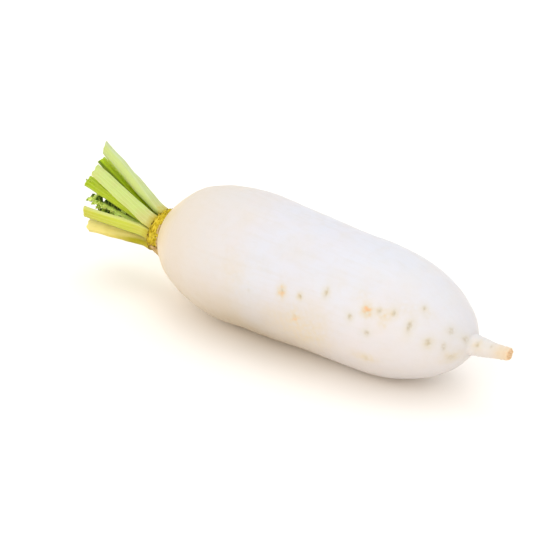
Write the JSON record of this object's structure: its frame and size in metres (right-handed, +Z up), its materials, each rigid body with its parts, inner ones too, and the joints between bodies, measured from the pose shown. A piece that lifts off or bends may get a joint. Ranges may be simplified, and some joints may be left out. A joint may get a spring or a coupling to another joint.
{
  "type": "daikon radish",
  "caption": "Whole white daikon radish lying on its side, with a short thin tail, a ringed crown, and cut green leaf stalks round crumpled young leaves.",
  "frame": {"origin": "on the ground, at the middle of the small flat the root rests on, under its centre of mass", "axes": "+X along the root towards its tail, the crown and stalks at -X; +Z up from the surface it lies on; -Y the side shown in the picture"},
  "size_m": [0.3197, 0.0864, 0.0905],
  "materials": {
    "root_skin": "smooth waxy white root skin, faintly pink in the middle and cream towards both ends",
    "crown_rind": "rough olive-yellow rind with brown leaf scars",
    "stalk_green": "smooth ribbed pale yellow-green stalk",
    "inner_stalk_green": "smooth bright green stalk",
    "young_leaf_green": "dark green crumpled leaf"
  },
  "bodies": {
    "root": {"root": "root_skin", "crown": "crown_rind", "leaf_stalk_1": "stalk_green", "leaf_stalk_2": "stalk_green", "leaf_stalk_3": "stalk_green", "leaf_stalk_4": "stalk_green", "leaf_stalk_5": "stalk_green", "leaf_stalk_6": "stalk_green", "inner_stalk_1": "inner_stalk_green", "inner_stalk_2": "inner_stalk_green", "young_leaf_1": "young_leaf_green", "young_leaf_2": "young_leaf_green", "young_leaf_3": "young_leaf_green"}
  },
  "joints": []
}
